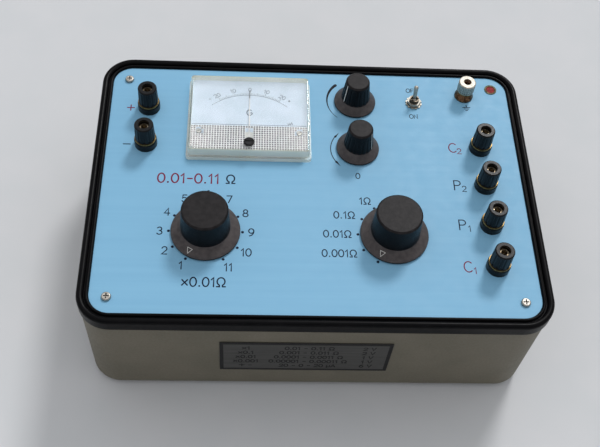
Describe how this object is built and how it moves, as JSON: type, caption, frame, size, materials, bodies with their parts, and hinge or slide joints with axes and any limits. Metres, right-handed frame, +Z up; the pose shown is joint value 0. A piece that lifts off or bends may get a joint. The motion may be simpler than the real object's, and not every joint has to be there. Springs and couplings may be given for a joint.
{
  "type": "resistance box",
  "caption": "Bench resistance box: moulded case, painted panel, null meter, step dials, trimmers, toggle switch and screw terminals with plug sockets.",
  "frame": {"origin": "middle of the underside of the rubber feet", "axes": "+X to the user's right, +Y to the back, +Z up out of the panel"},
  "size_m": [0.28, 0.2, 0.11],
  "materials": {
    "case_plastic": "fine moulded grain",
    "rim_plastic": "satin",
    "panel_paint": "satin baked enamel",
    "plated_steel": "bright zinc plate",
    "seal_metal": "turned",
    "seal_wax": "poured wax",
    "plate_metal": "etched, satin",
    "foot_rubber": "matt",
    "meter_moulding": "moulded",
    "clear_plastic": "clear acrylic",
    "dial_card": "printed enamel",
    "frosted_plastic": "stippled",
    "magnet_iron": "blackened",
    "copper_winding": "enamelled wire",
    "resistor_winding": "varnished wire on a bobbin",
    "pointer_black": "matt",
    "brass": "bright",
    "bronze": "dulled",
    "tinned_brass": "tinned",
    "knob_plastic": "satin phenolic",
    "post_plastic": "satin",
    "adjuster_plastic": "polished",
    "board_green": "lacquered laminate",
    "switch_laminate": "phenolic laminate",
    "shaft_metal": "turned",
    "pot_can": "pressed",
    "nickel": "nickel plate",
    "switch_moulding": "moulded",
    "tray_plastic": "moulded",
    "cell_jacket": "lacquered"
  },
  "bodies": {
    "case": {"lower_case": "case_plastic", "rim_frame": "rim_plastic", "front_panel": "panel_paint", "panel_screws": "plated_steel", "foot_screws": "plated_steel", "bushing_nuts": "plated_steel", "seal_cup": "seal_metal", "seal_wax": "seal_wax", "data_plate": "plate_metal", "rubber_feet": "foot_rubber", "meter_body": "meter_moulding", "meter_cover": "clear_plastic", "meter_dial": "dial_card", "meter_apron": "frosted_plastic", "meter_magnet": "magnet_iron", "resistor_bobbins": "resistor_winding", "meter_bridge": "brass", "meter_studs": "brass", "switch_contacts": "brass", "post_studs": "brass", "terminal_nuts": "brass", "ground_post": "bronze", "solder_lugs": "tinned_brass", "post_insulators": "post_plastic", "circuit_board": "board_green", "decade_switch": "switch_laminate", "ratio_switch": "switch_laminate", "gain_pot": "pot_can", "zero_pot": "pot_can", "toggle_nut": "nickel", "toggle_washer": "nickel", "toggle_switch": "switch_moulding", "battery_tray": "tray_plastic", "battery_cells": "cell_jacket"},
    "decade_dial": {"decade_knob": "knob_plastic", "decade_spindle": "shaft_metal"},
    "ratio_dial": {"ratio_knob": "knob_plastic", "ratio_spindle": "shaft_metal"},
    "gain_trimmer": {"gain_knob": "knob_plastic", "gain_shaft": "shaft_metal"},
    "zero_trimmer": {"zero_knob": "knob_plastic", "zero_shaft": "shaft_metal"},
    "toggle": {"toggle_lever": "nickel"},
    "meter_movement": {"meter_coil": "copper_winding", "meter_pointer": "pointer_black"},
    "zero_screw": {"meter_adjuster": "adjuster_plastic"},
    "plus_clamp": {"plus_ring": "brass"},
    "plus_head": {"plus_cap": "post_plastic"},
    "minus_clamp": {"minus_ring": "brass"},
    "minus_head": {"minus_cap": "post_plastic"},
    "c2_clamp": {"c2_ring": "brass"},
    "c2_head": {"c2_cap": "post_plastic"},
    "p2_clamp": {"p2_ring": "brass"},
    "p2_head": {"p2_cap": "post_plastic"},
    "p1_clamp": {"p1_ring": "brass"},
    "p1_head": {"p1_cap": "post_plastic"},
    "c1_clamp": {"c1_ring": "brass"},
    "c1_head": {"c1_cap": "post_plastic"},
    "ground_clamp": {"ground_ring": "brass"},
    "ground_head": {"ground_cap": "nickel"}
  },
  "joints": [
    {"name": "decade_turn", "type": "hinge", "parent": "case", "child": "decade_dial", "pos_m": [-0.0674, -0.0367, 0.086], "axis": [0, 0, -1], "range_deg": [0, 300]},
    {"name": "ratio_turn", "type": "hinge", "parent": "case", "child": "ratio_dial", "pos_m": [0.0475, -0.0367, 0.086], "axis": [0, 0, -1], "range_deg": [0, 120]},
    {"name": "gain_turn", "type": "hinge", "parent": "case", "child": "gain_trimmer", "pos_m": [0.0282, 0.068, 0.086], "axis": [0, 0, -1], "range_deg": [-20, 280]},
    {"name": "zero_turn", "type": "hinge", "parent": "case", "child": "zero_trimmer", "pos_m": [0.0282, 0.0288, 0.086], "axis": [0, 0, -1], "range_deg": [-240, 60]},
    {"name": "toggle_throw", "type": "hinge", "parent": "case", "child": "toggle", "pos_m": [0.0682, 0.0688, 0.0888], "axis": [1, 0, 0], "range_deg": [0, 25]},
    {"name": "pointer_swing", "type": "hinge", "parent": "case", "child": "meter_movement", "pos_m": [-0.0421, 0.029, 0.086], "axis": [0, 0, 1], "range_deg": [-38, 38], "stiffness_Nm_per_rad": 0.0004},
    {"name": "adjuster_turn", "type": "hinge", "parent": "case", "child": "zero_screw", "pos_m": [-0.0421, 0.0246, 0.096], "axis": [0, 0, 1], "range_deg": [-60, 60]},
    {"name": "plus_rise", "type": "slide", "parent": "case", "child": "plus_clamp", "axis": [0, 0, 1], "range_m": [0, 0.004]},
    {"name": "plus_unscrew", "type": "hinge", "parent": "plus_clamp", "child": "plus_head", "pos_m": [-0.1079, 0.0593, 0.086], "axis": [0, 0, 1], "range_deg": [0, 1440]},
    {"name": "minus_rise", "type": "slide", "parent": "case", "child": "minus_clamp", "axis": [0, 0, 1], "range_m": [0, 0.004]},
    {"name": "minus_unscrew", "type": "hinge", "parent": "minus_clamp", "child": "minus_head", "pos_m": [-0.1079, 0.0293, 0.086], "axis": [0, 0, 1], "range_deg": [0, 1440]},
    {"name": "c2_rise", "type": "slide", "parent": "case", "child": "c2_clamp", "axis": [0, 0, 1], "range_m": [0, 0.004]},
    {"name": "c2_unscrew", "type": "hinge", "parent": "c2_clamp", "child": "c2_head", "pos_m": [0.1089, 0.0319, 0.086], "axis": [0, 0, 1], "range_deg": [0, 1440]},
    {"name": "p2_rise", "type": "slide", "parent": "case", "child": "p2_clamp", "axis": [0, 0, 1], "range_m": [0, 0.004]},
    {"name": "p2_unscrew", "type": "hinge", "parent": "p2_clamp", "child": "p2_head", "pos_m": [0.1089, 0.0019, 0.086], "axis": [0, 0, 1], "range_deg": [0, 1440]},
    {"name": "p1_rise", "type": "slide", "parent": "case", "child": "p1_clamp", "axis": [0, 0, 1], "range_m": [0, 0.004]},
    {"name": "p1_unscrew", "type": "hinge", "parent": "p1_clamp", "child": "p1_head", "pos_m": [0.1089, -0.0281, 0.086], "axis": [0, 0, 1], "range_deg": [0, 1440]},
    {"name": "c1_rise", "type": "slide", "parent": "case", "child": "c1_clamp", "axis": [0, 0, 1], "range_m": [0, 0.004]},
    {"name": "c1_unscrew", "type": "hinge", "parent": "c1_clamp", "child": "c1_head", "pos_m": [0.1089, -0.0581, 0.086], "axis": [0, 0, 1], "range_deg": [0, 1440]},
    {"name": "ground_rise", "type": "slide", "parent": "case", "child": "ground_clamp", "axis": [0, 0, 1], "range_m": [0, 0.004]},
    {"name": "ground_unscrew", "type": "hinge", "parent": "ground_clamp", "child": "ground_head", "pos_m": [0.1032, 0.0766, 0.086], "axis": [0, 0, 1], "range_deg": [0, 1440]}
  ],
  "couplings": [
    {"joint": "plus_unscrew", "follows": "plus_rise", "rad_per_m": 6283.2},
    {"joint": "minus_unscrew", "follows": "minus_rise", "rad_per_m": 6283.2},
    {"joint": "c2_unscrew", "follows": "c2_rise", "rad_per_m": 6283.2},
    {"joint": "p2_unscrew", "follows": "p2_rise", "rad_per_m": 6283.2},
    {"joint": "p1_unscrew", "follows": "p1_rise", "rad_per_m": 6283.2},
    {"joint": "c1_unscrew", "follows": "c1_rise", "rad_per_m": 6283.2},
    {"joint": "ground_unscrew", "follows": "ground_rise", "rad_per_m": 6283.2}
  ]
}
